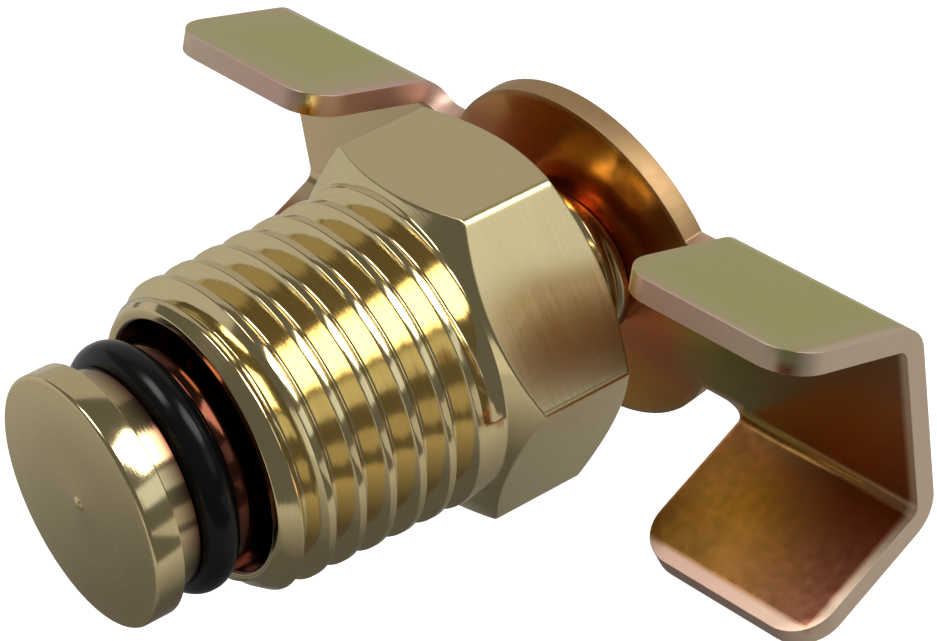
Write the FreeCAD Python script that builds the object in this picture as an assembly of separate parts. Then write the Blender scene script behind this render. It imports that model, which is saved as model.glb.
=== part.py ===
import FreeCAD, Part
import math
import os

# Radiator drain petcock, 1/4-18 NPT, in millimetres.
# X runs along the valve axis from the nose to the handle, Z is up and the wings lie along Y.
# The origin is on the axis, in the plane of the body's mouth.
# The plunger is drawn partly open, with its seal ring standing in front of the mouth.

# Body: pipe thread
THREAD_PITCH = 25.4 / 18
THREAD_TAPER = 1 / 32
MOUTH_CREST_RADIUS = 6.55
CREST_FLAT = 0.30
ROOT_FLAT = 0.20
FLANK_ANGLE = 30.0
GROOVE_PHASE = 0.54
GROOVE_END = 9.6
MOUTH_CHAMFER_LENGTH = 1.0
MOUTH_CHAMFER_DEPTH = 0.7

# Body: hexagon
HEX_ACROSS_FLATS = 14.29
HEX_FRONT = 10.2
HEX_BACK = 16.0
FRONT_CONE_ANGLE = 57.0
BACK_CONE_ANGLE = 60.0
BACK_FACE_RADIUS = 7.0

# Body: bores
SEAT_BORE_RADIUS = 5.35
SEAT_BORE_DEPTH = 4.6
SEAT_EDGE_CHAMFER = 0.1
SEAT_FLOOR_CHAMFER = 0.6
BACK_HOLE_CHAMFER = 0.35

# Plunger: nose, steps and ring groove
NOSE_OUT = 5.18
NOSE_WIDTH = 1.29
NOSE_EDGE_CHAMFER = 0.1
PIP_RADIUS = 0.28
PIP_HEIGHT = 0.1
STEP_WIDTH = 1.17
STEP_RADIUS = 4.66
LAND_WIDTH = 0.7
BORE_CLEARANCE = 0.05

# Seal ring
RING_SECTION = 1.70
RING_SIDE_CLEARANCE = 0.025
RING_BORE_CLEARANCE = 0.04
RING_FLOOR_CLEARANCE = 0.03

# Plunger: stem
NECK_RADIUS = 2.7
NECK_LENGTH = 3.6
STEM_RADIUS = 3.94
STEM_CLEARANCE = 0.05
STEM_END = 18.2
STEM_END_CHAMFER = 0.5
STEM_START_CHAMFER = 0.6
COLLAR_RADIUS = 3.41
COLLAR_CHAMFER = 0.45
TAIL_RADIUS = 2.6
TAIL_ACROSS_FLATS = 4.2
HEAD_RADIUS = 3.5
HEAD_HEIGHT = 1.0
DRAIN_RADIUS = 1.4
CROSS_HOLE_RADIUS = 1.15
CROSS_HOLE_SETBACK = 1.7

# Handle: sheet, disc and wings
SHEET = 0.95
DISC_RADIUS = 7.65
DISC_PLACE = 19.4
HANDLE_LEAN = 4.8
HANDLE_SKEW = 4.8
HANDLE_TURN = 2.3
TAIL_CLEARANCE = 0.03
WING_INNER = 8.77
WING_OUTER = 18.15
WING_OFFSET = -0.2
WING_HALF_HEIGHT = 4.7
BEND_RADIUS = 0.6
UPPER_FLANGE_DEPTH = 7.25
LOWER_FLANGE_DEPTH = 7.75
UPPER_FLARE = 22.0
LOWER_FLARE = 18.0
FLANGE_TIP_RADIUS = 1.8
NECK_HALF_WIDTH = 3.7
NOTCH_RADIUS = 1.05

# Values that follow from the sizes above
X_AXIS = FreeCAD.Vector(1, 0, 0)
ORIGIN = FreeCAD.Vector(0, 0, 0)
HALF_OPENING = (THREAD_PITCH - CREST_FLAT) / 2
GROOVE_DEPTH = (HALF_OPENING - ROOT_FLAT / 2) / math.tan(math.radians(FLANK_ANGLE))
HEX_CORNER_RADIUS = HEX_ACROSS_FLATS / 2 / math.cos(math.radians(30))
STEM_HOLE_RADIUS = STEM_RADIUS + STEM_CLEARANCE
NOSE_RADIUS = SEAT_BORE_RADIUS - BORE_CLEARANCE
NOSE_FACE = -NOSE_OUT
STEP_END = NOSE_FACE + NOSE_WIDTH + STEP_WIDTH
GROOVE_WIDTH = RING_SECTION + 2 * RING_SIDE_CLEARANCE
LAND_START = STEP_END + GROOVE_WIDTH
LAND_END = LAND_START + LAND_WIDTH
STEM_START = LAND_END + NECK_LENGTH
RING_PLACE = STEP_END + GROOVE_WIDTH / 2
RING_OUTER = SEAT_BORE_RADIUS - RING_BORE_CLEARANCE
RING_CENTRE_RADIUS = RING_OUTER - RING_SECTION / 2
GROOVE_RADIUS = RING_OUTER - RING_SECTION - RING_FLOOR_CLEARANCE
COLLAR_END = DISC_PLACE - COLLAR_CHAMFER
CROSS_HOLE_PLACE = LAND_END + CROSS_HOLE_SETBACK


def crest_radius(x):
    """Radius over the thread crests at a distance x from the mouth."""
    return MOUTH_CREST_RADIUS + THREAD_TAPER * x


def turned(points):
    """Solid of revolution about the valve axis, from (x, radius) points."""
    corners = [FreeCAD.Vector(x, 0, r) for x, r in points]
    face = Part.Face(Part.makePolygon(corners + corners[:1]))
    return face.revolve(ORIGIN, X_AXIS, 360)


def handle_placement():
    """Where the staked handle sits: leaning at the top, skewed to one side and slightly turned."""
    lean = FreeCAD.Rotation(HANDLE_SKEW, -HANDLE_LEAN, 0)
    turn = FreeCAD.Rotation(X_AXIS, HANDLE_TURN)
    return FreeCAD.Placement(FreeCAD.Vector(DISC_PLACE, 0, 0), turn.multiply(lean))


def two_flats(length, radius, across, start):
    """Round bar along X with two flats that face up and down."""
    bar = Part.makeCylinder(radius, length, FreeCAD.Vector(start, 0, 0), X_AXIS)
    corner = FreeCAD.Vector(start, -2 * radius, -across / 2)
    return bar.common(Part.makeBox(length, 4 * radius, across, corner))


# Valve body

def thread_shank():
    """Tapered shank before the thread is cut, with its mouth chamfer."""
    return turned([
        (0, 0),
        (0, crest_radius(0) - MOUTH_CHAMFER_DEPTH),
        (MOUTH_CHAMFER_LENGTH, crest_radius(MOUTH_CHAMFER_LENGTH)),
        (HEX_FRONT, crest_radius(HEX_FRONT)),
        (HEX_FRONT, 0),
    ])


def hexagon():
    """Hexagon with flats up and down and a turned cone at each end."""
    clear = HEX_CORNER_RADIUS + 0.5
    front_run = (clear - crest_radius(HEX_FRONT)) / math.tan(math.radians(FRONT_CONE_ANGLE))
    back_run = (clear - BACK_FACE_RADIUS) / math.tan(math.radians(BACK_CONE_ANGLE))
    cones = turned([
        (HEX_FRONT, 0),
        (HEX_FRONT, crest_radius(HEX_FRONT)),
        (HEX_FRONT + front_run, clear),
        (HEX_BACK - back_run, clear),
        (HEX_BACK, BACK_FACE_RADIUS),
        (HEX_BACK, 0),
    ])
    corners = []
    for k in range(6):
        a = math.radians(60 * k)
        corners.append(FreeCAD.Vector(
            HEX_FRONT, HEX_CORNER_RADIUS * math.cos(a), HEX_CORNER_RADIUS * math.sin(a)))
    face = Part.Face(Part.makePolygon(corners + corners[:1]))
    prism = face.extrude(FreeCAD.Vector(HEX_BACK - HEX_FRONT, 0, 0))
    return prism.common(cones)


def groove_tool():
    """Helical cutter for the tapered thread, one truncated V swept along a cone."""
    start = GROOVE_PHASE - THREAD_PITCH
    over = 0.15
    crest = crest_radius(start)
    root = crest - GROOVE_DEPTH
    half_top = HALF_OPENING + over * math.tan(math.radians(FLANK_ANGLE))
    profile = Part.makePolygon([
        FreeCAD.Vector(root, 0, -ROOT_FLAT / 2),
        FreeCAD.Vector(root, 0, ROOT_FLAT / 2),
        FreeCAD.Vector(crest + over, 0, half_top),
        FreeCAD.Vector(crest + over, 0, -half_top),
        FreeCAD.Vector(root, 0, -ROOT_FLAT / 2),
    ])
    taper = math.degrees(math.atan(THREAD_TAPER))
    spine = Part.Wire(Part.makeHelix(THREAD_PITCH, GROOVE_END - start, root, taper))
    cutter = spine.makePipeShell([profile], True, True)
    # The helix is made about Z from +X, so it is turned onto the valve axis to start at +Y.
    turn = FreeCAD.Rotation(
        FreeCAD.Vector(0, 1, 0), FreeCAD.Vector(0, 0, 1), FreeCAD.Vector(1, 0, 0), "ZXY")
    cutter.Placement = FreeCAD.Placement(FreeCAD.Vector(start, 0, 0), turn)
    return cutter


def body_bores():
    """Seat bore from the mouth, and the stem's hole through the hexagon."""
    return turned([
        (-1, 0),
        (-1, SEAT_BORE_RADIUS + SEAT_EDGE_CHAMFER + 1),
        (SEAT_EDGE_CHAMFER, SEAT_BORE_RADIUS),
        (SEAT_BORE_DEPTH, SEAT_BORE_RADIUS),
        (SEAT_BORE_DEPTH + SEAT_FLOOR_CHAMFER, STEM_HOLE_RADIUS),
        (HEX_BACK - BACK_HOLE_CHAMFER, STEM_HOLE_RADIUS),
        (HEX_BACK, STEM_HOLE_RADIUS + BACK_HOLE_CHAMFER),
        (HEX_BACK + 1, STEM_HOLE_RADIUS + BACK_HOLE_CHAMFER),
        (HEX_BACK + 1, 0),
    ])


def valve_body():
    blank = thread_shank().fuse(hexagon()).removeSplitter()
    threaded = blank.cut(groove_tool())
    return threaded.cut(body_bores())


# Plunger

def plunger_blank():
    """Turned profile from the nose to the tail that goes through the handle."""
    tail_end = DISC_PLACE + SHEET
    return turned([
        (NOSE_FACE, 0),
        (NOSE_FACE, NOSE_RADIUS - NOSE_EDGE_CHAMFER),
        (NOSE_FACE + NOSE_EDGE_CHAMFER, NOSE_RADIUS),
        (NOSE_FACE + NOSE_WIDTH, NOSE_RADIUS),
        (NOSE_FACE + NOSE_WIDTH, STEP_RADIUS),
        (STEP_END, STEP_RADIUS),
        (STEP_END, GROOVE_RADIUS),
        (LAND_START, GROOVE_RADIUS),
        (LAND_START, STEP_RADIUS),
        (LAND_END, STEP_RADIUS),
        (LAND_END, NECK_RADIUS),
        (STEM_START, NECK_RADIUS),
        (STEM_START + STEM_START_CHAMFER, STEM_RADIUS),
        (STEM_END, STEM_RADIUS),
        (STEM_END + STEM_END_CHAMFER, COLLAR_RADIUS),
        (COLLAR_END, COLLAR_RADIUS),
        (COLLAR_END + COLLAR_CHAMFER, COLLAR_RADIUS - COLLAR_CHAMFER),
        (tail_end, COLLAR_RADIUS - COLLAR_CHAMFER),
        (tail_end, 0),
    ])


def in_front_of_handle():
    """Everything on the body's side of the handle's inner face."""
    reach = 4 * DISC_RADIUS
    block = Part.makeBox(reach, reach, reach, FreeCAD.Vector(-reach, -reach / 2, -reach / 2))
    block.Placement = handle_placement().multiply(block.Placement)
    return block


def staked_head():
    """Tail end peened square to the leaning handle, drawn in the handle's own frame."""
    dome_radius = (HEAD_RADIUS ** 2 + HEAD_HEIGHT ** 2) / (2 * HEAD_HEIGHT)
    dome_centre = FreeCAD.Vector(SHEET + HEAD_HEIGHT - dome_radius, 0, 0)
    dome = Part.makeSphere(dome_radius, dome_centre)
    slab = Part.makeCylinder(HEAD_RADIUS, HEAD_HEIGHT, FreeCAD.Vector(SHEET, 0, 0), X_AXIS)
    tail = two_flats(SHEET + 0.2, TAIL_RADIUS, TAIL_ACROSS_FLATS, -0.1)
    head = dome.common(slab).fuse(tail)
    head.Placement = handle_placement()
    return head


def drain_passage():
    """Bore up the stem from the tail, and the cross hole behind the ring that feeds it."""
    far = DISC_PLACE + SHEET + HEAD_HEIGHT + 2
    bore = Part.makeCylinder(
        DRAIN_RADIUS, far - CROSS_HOLE_PLACE, FreeCAD.Vector(CROSS_HOLE_PLACE, 0, 0), X_AXIS)
    cross = Part.makeCylinder(
        CROSS_HOLE_RADIUS, 2 * STEM_RADIUS,
        FreeCAD.Vector(CROSS_HOLE_PLACE, 0, -STEM_RADIUS), FreeCAD.Vector(0, 0, 1))
    return bore.fuse(cross)


def spindle():
    pip = turned([
        (NOSE_FACE - PIP_HEIGHT, 0),
        (NOSE_FACE, PIP_RADIUS),
        (NOSE_FACE + 0.2, PIP_RADIUS),
        (NOSE_FACE + 0.2, 0),
    ])
    stem = plunger_blank().common(in_front_of_handle())
    return stem.fuse([pip, staked_head()]).removeSplitter().cut(drain_passage())


def o_ring():
    return Part.makeTorus(
        RING_CENTRE_RADIUS, RING_SECTION / 2, FreeCAD.Vector(RING_PLACE, 0, 0), X_AXIS)


# Handle

def flange(depth, flare_angle):
    """Web tangent point, arc middle, arc end and tip of an upper flange, outside then inside."""
    flare = math.radians(flare_angle)
    outer = BEND_RADIUS + SHEET
    tangent = outer * math.tan((math.pi / 2 - flare) / 2)
    centre = FreeCAD.Vector(-BEND_RADIUS, 0, WING_HALF_HEIGHT - tangent)
    along = FreeCAD.Vector(-math.cos(flare), 0, math.sin(flare))
    normal = FreeCAD.Vector(math.sin(flare), 0, math.cos(flare))
    middle = math.pi / 4 - flare / 2
    half = FreeCAD.Vector(math.cos(middle), 0, math.sin(middle))
    faces = []
    for radius in (outer, BEND_RADIUS):
        web = centre + FreeCAD.Vector(radius, 0, 0)
        end = centre + normal * radius
        faces.append([web, centre + half * radius, end, end + along * (depth - tangent)])
    return faces


def channel_face():
    """Section of a wing: a web with two flanges folded toward the body and flared apart."""
    upper = flange(UPPER_FLANGE_DEPTH, UPPER_FLARE)
    lower = flange(LOWER_FLANGE_DEPTH, LOWER_FLARE)
    lower = [[FreeCAD.Vector(p.x, 0, -p.z) for p in points] for points in lower]
    edges = []
    for above, below in zip(upper, lower):
        edges.append(Part.makeLine(above[0], below[0]))
        for web, mid, end, tip in (above, below):
            edges.append(Part.Arc(web, mid, end).toShape())
            edges.append(Part.makeLine(end, tip))
    for outside, inside in (upper, lower):
        edges.append(Part.makeLine(outside[3], inside[3]))
    return Part.Face(Part.Wire(Part.__sortEdges__(edges)))


def wing(inner, outer):
    """Channel from inner to outer along +Y, with rounded free corners."""
    face = channel_face()
    face.translate(FreeCAD.Vector(0, inner, 0))
    channel = face.extrude(FreeCAD.Vector(0, outer - inner, 0))
    corners = [e for e in channel.Edges
               if abs(e.Length - SHEET) < 1e-6 and abs(e.BoundBox.YLength) < 1e-6]
    return channel.makeFillet(FLANGE_TIP_RADIUS, corners)


def bridge(inner):
    """Flat neck from the disc to one wing, and the two round notches beside it."""
    notch_side = NECK_HALF_WIDTH + NOTCH_RADIUS
    shoulder = notch_side - NOTCH_RADIUS / 3
    strip = Part.makeBox(
        SHEET, inner, 2 * NECK_HALF_WIDTH, FreeCAD.Vector(0, 0, -NECK_HALF_WIDTH))
    corner = Part.makeBox(
        SHEET, NOTCH_RADIUS, 2 * shoulder, FreeCAD.Vector(0, inner - NOTCH_RADIUS, -shoulder))
    notches = []
    for z in (notch_side, -notch_side):
        place = FreeCAD.Vector(-1, inner - NOTCH_RADIUS, z)
        notches.append(Part.makeCylinder(NOTCH_RADIUS, SHEET + 2, place, X_AXIS))
    return strip.fuse(corner).cut(notches)


def wing_handle():
    sheet = Part.makeCylinder(DISC_RADIUS, SHEET, ORIGIN, X_AXIS)
    for side in (1, -1):
        inner = WING_INNER + side * WING_OFFSET
        outer = WING_OUTER + side * WING_OFFSET
        half = bridge(inner).fuse(wing(inner, outer))
        if side == -1:
            half = half.mirror(ORIGIN, FreeCAD.Vector(0, 1, 0))
        sheet = sheet.fuse(half)
    hole = two_flats(
        SHEET + 2, TAIL_RADIUS + TAIL_CLEARANCE, TAIL_ACROSS_FLATS + 2 * TAIL_CLEARANCE, -1)
    sheet = sheet.removeSplitter().cut(hole)
    sheet.Placement = handle_placement()
    return sheet


def main():
    os.makedirs("parts", exist_ok=True)
    pieces = {
        "valve_body": valve_body(),
        "spindle": spindle(),
        "o_ring": o_ring(),
        "wing_handle": wing_handle(),
    }
    for name, shape in pieces.items():
        if len(shape.Solids) == 1:
            shape = shape.Solids[0]
        shape.exportStep(os.path.join("parts", name + ".step"))
        box = shape.BoundBox
        print(name, len(shape.Solids), "solid", shape.isValid(), round(shape.Volume, 2),
              [round(v, 2) for v in (box.XMin, box.XMax, box.YMin, box.YMax, box.ZMin, box.ZMax)])


main()
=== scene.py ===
"""Dresses the radiator drain petcock: fine meshes over its four solids, finishes, light and camera."""
import math

import bmesh
import bpy
from mathutils import Matrix, Vector


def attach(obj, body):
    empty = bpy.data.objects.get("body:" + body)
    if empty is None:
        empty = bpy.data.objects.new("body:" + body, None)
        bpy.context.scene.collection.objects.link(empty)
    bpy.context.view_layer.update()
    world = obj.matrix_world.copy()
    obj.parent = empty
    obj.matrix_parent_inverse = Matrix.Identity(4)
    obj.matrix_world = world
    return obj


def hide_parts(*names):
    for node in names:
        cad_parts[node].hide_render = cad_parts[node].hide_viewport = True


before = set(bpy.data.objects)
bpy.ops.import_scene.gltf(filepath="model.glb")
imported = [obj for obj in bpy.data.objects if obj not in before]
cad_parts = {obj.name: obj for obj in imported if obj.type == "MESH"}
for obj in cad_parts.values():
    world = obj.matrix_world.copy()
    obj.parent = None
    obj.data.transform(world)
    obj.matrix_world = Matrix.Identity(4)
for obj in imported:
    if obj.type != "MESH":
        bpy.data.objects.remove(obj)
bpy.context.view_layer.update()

bl_info = {
    "name": "Drain Petcock",
    "version": (1, 0, 0),
    "blender": (4, 5, 0),
    "location": "3D View > Sidebar > Petcock",
    "description": "Builds a brass drain petcock with its plunger, seal ring and butterfly handle",
    "category": "Add Mesh",
}

MM = 0.001
FULL_TURN = 2 * math.pi

# Each lamp's name, its direction from the part, then distance, width and height in metres,
# its radiance and its tint
LAMPS = (
    ("top", (-0.35, 0.10, 0.93), 0.45, 0.20, 0.20, 7.0, (1, 1, 1)),
    ("key", (0.46, -0.50, 0.735), 0.35, 0.15, 0.19, 5.5, (1, 1, 1)),
    ("left", (-0.92, -0.15, -0.25), 0.30, 0.12, 0.08, 0.6, (1, 1, 1)),
    ("right", (0.43, -0.85, 0.31), 0.30, 0.13, 0.09, 0.72, (0.9, 1.0, 1.12)),
    ("back", (0.50, 0.75, 0.40), 0.35, 0.50, 0.44, 0.29, (1, 1, 1)),
    ("back_left", (-0.55, 0.82, 0.02), 0.35, 0.42, 0.24, 0.40, (0.95, 1.0, 1.06)),
)
# The floor in metres, cut away at the front so that the thread's flanks reflect a dark gap there
FLOOR_OUTLINE = (
    (-0.06, -0.036), (0.028, -0.036), (0.028, -0.15), (0.35, -0.15), (0.35, 0.35), (-0.06, 0.35),
)


def length(name, description, mm):
    """A length property, given here in millimetres and kept in metres."""
    return bpy.props.FloatProperty(
        name=name, description=description, default=mm * MM, unit="LENGTH", precision=5)


def angle(name, description, degrees):
    """An angle property, given here in degrees."""
    return bpy.props.FloatProperty(
        name=name, description=description, default=math.radians(degrees), unit="ROTATION")


def number(name, description, value):
    """A plain number property."""
    return bpy.props.FloatProperty(name=name, description=description, default=value)


def count(name, description, value):
    """A whole number property."""
    return bpy.props.IntProperty(name=name, description=description, default=value, min=3)


def colour(name, description, value):
    """A linear colour property."""
    return bpy.props.FloatVectorProperty(
        name=name, description=description, default=value, size=3, subtype="COLOR", min=0, max=1)


class PETCOCK_PG_body(bpy.types.PropertyGroup):
    """Sizes of the threaded body."""
    pitch: length("Pitch", "Distance between pipe thread crests", 25.4 / 18)
    taper: number("Taper", "Growth of the crest radius for each unit along the axis", 1 / 32)
    mouth_crest: length("Mouth crest radius", "Radius over the crests at the mouth", 6.55)
    crest_flat: length("Crest flat", "Width of the flat on each crest", 0.30)
    root_flat: length("Root flat", "Width of the flat in each groove", 0.14)
    flank: angle("Flank", "Slope of each flank from square to the axis", 30)
    groove_phase: length("Groove phase", "Where the groove crosses the +Y side", 0.54)
    groove_end: length("Groove end", "Where the groove runs out", 9.72)
    lead_length: length("Lead length", "Length of the chamfer outside the mouth", 1.0)
    lead_depth: length("Lead depth", "Depth of that chamfer at the mouth", 0.7)
    seat_chamfer: length("Seat chamfer", "Chamfer inside the mouth", 0.1)
    flats: length("Across flats", "Hexagon width", 14.29)
    hex_front: length("Hexagon front", "Where the front cone starts", 10.2)
    hex_back: length("Hexagon back", "Back face of the hexagon", 16.0)
    front_cone: angle("Front cone", "Slope of the front cone from the axis", 57)
    back_cone: angle("Back cone", "Slope of the back cone from the axis", 60)
    back_face: length("Back face radius", "Radius of the turned back face", 7.0)
    seat_bore: length("Seat bore radius", "Bore that the seal ring slides in", 5.35)
    seat_depth: length("Seat bore depth", "Depth of the seat bore", 4.6)
    seat_floor: length("Seat floor", "Run of the cone at the bore's floor", 0.6)
    stem_hole: length("Stem hole radius", "Hole through the hexagon", 3.99)
    hole_chamfer: length("Hole chamfer", "Chamfer at the back of the stem hole", 0.35)
    edge: length("Edge radius", "Rounding left by deburring", 0.05)
    corner: length("Corner blend", "Blend where two sides of the hexagon meet", 0.24)
    soft: length("Soft edge", "Blend along the edges of the groove", 0.02)
    fade: number("Fade", "Share of a turn in which the groove runs out", 0.12)
    side_columns: count("Columns a side", "Mesh columns on each hexagon side", 56)


class PETCOCK_PG_spindle(bpy.types.PropertyGroup):
    """Sizes of the plunger and its stem."""
    nose_face: length("Nose face", "Front face of the nose", -5.18)
    nose_width: length("Nose width", "Thickness of the nose disc", 1.29)
    nose_radius: length("Nose radius", "Radius of the nose disc", 5.3)
    step_width: length("Step width", "Width of the step behind the nose", 1.17)
    step_radius: length("Step radius", "Radius of the step and the land", 4.66)
    groove_width: length("Ring groove width", "Width of the ring's groove", 1.75)
    groove_radius: length("Ring groove radius", "Radius of the groove's floor", 3.58)
    land_width: length("Land width", "Width of the land behind the groove", 0.7)
    neck_radius: length("Neck radius", "Radius of the neck inside the body", 2.7)
    neck_length: length("Neck length", "Length of that neck", 3.6)
    stem_radius: length("Stem radius", "Radius over the stem's thread", 3.94)
    stem_end: length("Stem end", "Where the stem's thread stops", 18.2)
    stem_pitch: length("Stem pitch", "Pitch of the stem's left-hand thread", 25.4 / 24)
    crest_share: number("Crest share", "Flat on each stem crest, as a share of the pitch", 0.2)
    flank: angle("Flank", "Slope of the stem thread's flanks", 36)
    soft: length("Soft edge", "Blend along the edges of the stem's groove", 0.04)
    fade: number("Fade", "Share of a turn in which the stem's groove runs out", 0.2)
    collar_radius: length("Collar radius", "Radius of the collar at the handle", 3.41)
    collar_chamfer: length("Collar chamfer", "Chamfer where the collar meets the handle", 0.45)
    tail_radius: length("Tail radius", "Radius of the tail inside the handle", 2.1)
    head_radius: length("Head radius", "Radius of the staked head", 3.5)
    head_height: length("Head height", "Height of the staked head", 1.0)
    drain_radius: length("Drain radius", "Radius of the drain bore", 1.4)
    drain_start: length("Drain start", "Where the drain bore starts", 1.43)
    cross_radius: length("Cross hole radius", "Radius of the drain's cross hole", 1.15)
    pip_radius: length("Pip radius", "Radius of the pip left by the cut-off tool", 0.28)
    pip_height: length("Pip height", "Height of that pip", 0.1)
    edge: length("Edge radius", "Rounding left by deburring", 0.06)
    columns: count("Columns", "Mesh columns round the axis", 240)


class PETCOCK_PG_ring(bpy.types.PropertyGroup):
    """Sizes of the seal ring."""
    place: length("Place", "Where the ring lies on the axis", -1.845)
    centre_radius: length("Centre radius", "Radius of the middle of its section", 4.46)
    section: length("Section", "Thickness of the ring", 1.7)
    columns: count("Columns", "Mesh columns round the ring", 160)
    rows: count("Rows", "Mesh rows round its section", 40)


class PETCOCK_PG_handle(bpy.types.PropertyGroup):
    """Sizes of the folded sheet handle."""
    sheet: length("Sheet", "Thickness of the steel sheet", 0.95)
    disc_radius: length("Disc radius", "Radius of the middle disc", 7.65)
    place: length("Place", "Where the disc's inner face crosses the axis", 19.4)
    lean: angle("Lean", "How far the top leans toward the body", 4.8)
    skew: angle("Skew", "How far one wing is set back", 4.8)
    turn: angle("Turn", "How far the handle is turned from the hexagon", 2.3)
    wing_inner: length("Wing inner end", "Inner end of each wing", 8.77)
    wing_outer: length("Wing outer end", "Outer end of each wing", 18.15)
    wing_offset: length("Wing offset", "How far both wings are off centre", -0.2)
    half_height: length("Half height", "Height of a wing's outer corner over its middle", 4.7)
    bend: length("Bend radius", "Inner radius of each fold", 0.6)
    upper_depth: length("Upper flange", "Depth of each upper flange", 7.24)
    lower_depth: length("Lower flange", "Depth of each lower flange", 7.75)
    upper_flare: angle("Upper flare", "How far each upper flange opens outwards", 22)
    lower_flare: angle("Lower flare", "How far each lower flange opens outwards", 18)
    tip: length("Tip radius", "Rounding of the free corners", 1.8)
    neck: length("Neck half width", "Half width of the neck beside the disc", 3.7)
    notch: length("Notch radius", "Radius of the notch beside each wing", 1.05)
    hole: length("Hole radius", "Hole for the tail", 2.13)
    edge: length("Edge radius", "Rounding of the stamped edges", 0.16)


class PETCOCK_PG_finish(bpy.types.PropertyGroup):
    """Colours of the finishes."""
    brass: colour("Brass", "Freshly cut brass", (0.85, 0.68, 0.35))
    brass_pale: colour("Pale brass", "Brass where it is greenish", (0.84, 0.69, 0.36))
    brass_dull: colour("Dull brass", "Brass in the lathe marks", (0.50, 0.36, 0.18))
    # Painted shade: this dark brass stands for the shade inside the bores and on the stem within the
    # body.
    brass_in_painted_shade: colour("Stained brass", "Brass inside, stained by coolant", (0.11, 0.036, 0.02))
    rubber: colour("Rubber", "The seal ring", (0.004, 0.004, 0.0042))
    plate_olive: colour("Olive plating", "Plating outside the folds", (0.66, 0.62, 0.205))
    plate_rose: colour("Rose plating", "Plating at the rims", (0.84, 0.57, 0.46))
    plate_amber: colour("Amber plating", "Plating inside the flanges", (0.64, 0.29, 0.015))
    plate_brown: colour("Brown plating", "Plating inside the near web", (0.36, 0.18, 0.06))
    plate_straw: colour("Straw plating", "Plating inside the far web", (0.76, 0.58, 0.30))
    plate_plum: colour("Plum plating", "Plating inside the flanges' outer ends", (0.50, 0.17, 0.08))
    plate_moss: colour("Moss plating", "Plating inside the web's inner end", (0.34, 0.33, 0.07))
    # Painted highlight: this pale cream lightens the sheet's cut edges toward the wings' outer ends.
    rim_painted_highlight: colour("Cream plating", "Plating at the outer rims", (0.84, 0.70, 0.50))
    # Painted shade: this dark red stands for the shade in the folds and on the disc's inner face, which
    # faces the body.
    red_painted_shade: colour("Red plating", "Plating in the folds and inside the disc", (0.50, 0.15, 0.045))
    plate_tan: colour("Tan plating", "Plating on the disc's rim", (0.55, 0.35, 0.17))


class PETCOCK_PG_stage(bpy.types.PropertyGroup):
    """Camera, floor and light."""
    azimuth: angle("Camera azimuth", "Heading of the view, from +Y toward +X", 34.18)
    elevation: angle("Camera elevation", "How far the camera looks down", 33.10)
    roll: angle("Camera roll", "Turn of the camera about its own view", 6.31)
    camera_place: bpy.props.FloatVectorProperty(
        name="Camera place", description="Where the camera stands", size=3,
        default=(-0.05597, -0.10243, 0.08017), subtype="TRANSLATION")
    lens: number("Lens", "Focal length in millimetres on a 36 mm sensor", 139.9)
    floor: length("Floor", "Height of the floor, clear of the turning wings", -24.0)


# Profiles and columns

def rounded(points, radius, steps=3):
    """The (x, radius) points of a turned profile, with every inner corner rounded."""
    out = [points[0]]
    for before, here, after in zip(points, points[1:], points[2:]):
        here, before, after = Vector(here), Vector(before), Vector(after)
        back, ahead = before - here, after - here
        reach = min(radius, back.length * 0.45, ahead.length * 0.45)
        start, end = here + back.normalized() * reach, here + ahead.normalized() * reach
        for k in range(steps + 1):
            t = k / steps
            out.append(tuple(start * (1 - t) ** 2 + here * (2 * t * (1 - t)) + end * t * t))
    out.append(points[-1])
    return out


def smooth_min(a, b, blend):
    """The lower of two values, with a small round where they cross."""
    h = max(blend - abs(a - b), 0) / blend
    return min(a, b) - h * h * blend / 4


def helical_places(theta, low, high, pitch, phase, knots, hand=1):
    """Places along the axis that follow a helix, held between low and high."""
    first = math.floor((low - phase) / pitch) - 2
    last = math.ceil((high - phase) / pitch) + 2
    places = []
    for turn in range(first, last):
        for knot in knots:
            x = phase + pitch * (turn + hand * theta / FULL_TURN) + knot
            places.append(min(max(x, low), high))
    return places


def thread_knots(pitch, crest_flat, root_flat, soft):
    """Offsets from a groove's middle where the thread's section needs a row."""
    half = (pitch - crest_flat) / 2
    root = root_flat / 2
    side = [root, root + soft, (root + half) / 2, half - soft, half, half + soft]
    return [-k for k in reversed(side)] + side + [pitch / 2]


def mesh_from_columns(name, columns, marks=None):
    """A closed mesh from equal columns of points, merged at its seam, poles and doubled rows.

    marks names vertex attributes and gives each a list with one value for each row."""
    bm = bmesh.new()
    layers = {mark: bm.verts.layers.float.new(mark) for mark in (marks or {})}
    grid = []
    for column in columns:
        verts = []
        for row, point in enumerate(column):
            vert = bm.verts.new(point)
            for mark, layer in layers.items():
                vert[layer] = marks[mark][row]
            verts.append(vert)
        grid.append(verts)
    for left, right in zip(grid, grid[1:]):
        for row in range(len(left) - 1):
            bm.faces.new((left[row], left[row + 1], right[row + 1], right[row]))
    bmesh.ops.remove_doubles(bm, verts=bm.verts, dist=0.002 * MM)
    bmesh.ops.dissolve_degenerate(bm, edges=bm.edges, dist=0.0005 * MM)
    bmesh.ops.recalc_face_normals(bm, faces=bm.faces)
    mesh = bpy.data.meshes.new(name)
    bm.to_mesh(mesh)
    bm.free()
    mesh.shade_smooth()
    return mesh


def on_axis(x, radius, theta):
    """A point at a radius round the valve axis, from +Y toward +Z."""
    return Vector((x, radius * math.cos(theta), radius * math.sin(theta)))


# The thread cutter, a Geometry Nodes tree

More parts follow.
